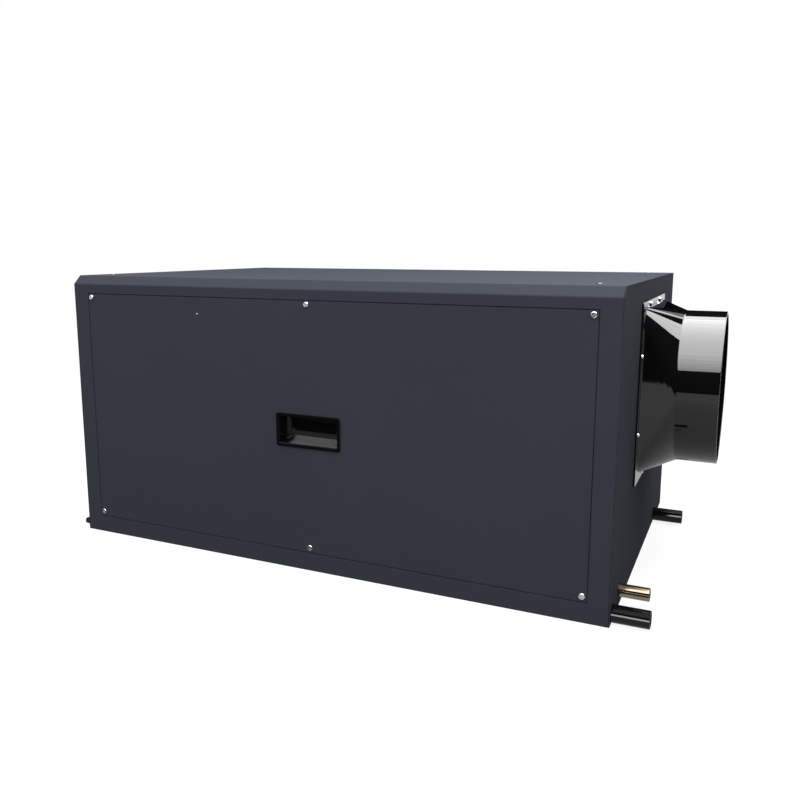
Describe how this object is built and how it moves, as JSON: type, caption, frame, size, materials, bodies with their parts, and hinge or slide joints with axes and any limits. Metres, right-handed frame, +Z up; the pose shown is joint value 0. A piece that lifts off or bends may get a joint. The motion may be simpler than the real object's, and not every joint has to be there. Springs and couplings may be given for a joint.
{
  "type": "ceiling mounted air dryer",
  "caption": "Ducted ceiling air dryer: dark folded sheet cabinet with a screwed access panel, round duct collars at both ends and pipe stubs.",
  "frame": {"origin": "centre of the flat underside", "axes": "+X along the length towards the supply collar, +Y from the access panel to the back, +Z up"},
  "size_m": [0.9656, 0.5018, 0.385],
  "materials": {
    "front_paint": "satin dark grey powder coat",
    "end_paint": "satin dark grey powder coat",
    "handle_black": "gloss black moulded plastic",
    "adapter_black": "gloss black moulded plastic",
    "pipe_black": "gloss black plastic tube",
    "copper": "bright copper tube",
    "galvanised": "zinc coated sheet",
    "motor_grey": "grey enamelled motor can",
    "foam": "closed cell foam sheet",
    "filter_cloth": "pleated filter cloth"
  },
  "bodies": {
    "root": {"outer_cover": "front_paint", "access_panel": "front_paint", "access_panel_lining": "foam", "pull_handle": "handle_black", "left_end_panel": "end_paint", "right_end_panel": "end_paint", "back_panel": "end_paint", "base_pan": "end_paint", "post_front_left": "galvanised", "post_front_right": "galvanised", "post_back_left": "galvanised", "post_back_right": "galvanised", "hanger_plate_front_left": "galvanised", "hanger_plate_front_right": "galvanised", "hanger_plate_back_left": "galvanised", "hanger_plate_back_right": "galvanised", "supply_adapter": "adapter_black", "return_adapter": "adapter_black", "copper_pipe": "copper", "front_drain_pipe": "pipe_black", "rear_drain_pipe": "pipe_black", "cable_gland": "pipe_black", "filter_frame": "galvanised", "filter_media": "filter_cloth", "filter_rail_upper": "galvanised", "filter_rail_lower": "galvanised", "blower_scroll": "galvanised", "blower_side_inlet": "galvanised", "blower_side_motor": "galvanised", "blower_outlet_flange": "galvanised", "blower_inlet_ring": "galvanised", "blower_wheel": "galvanised", "blower_motor": "motor_grey"}
  },
  "joints": []
}
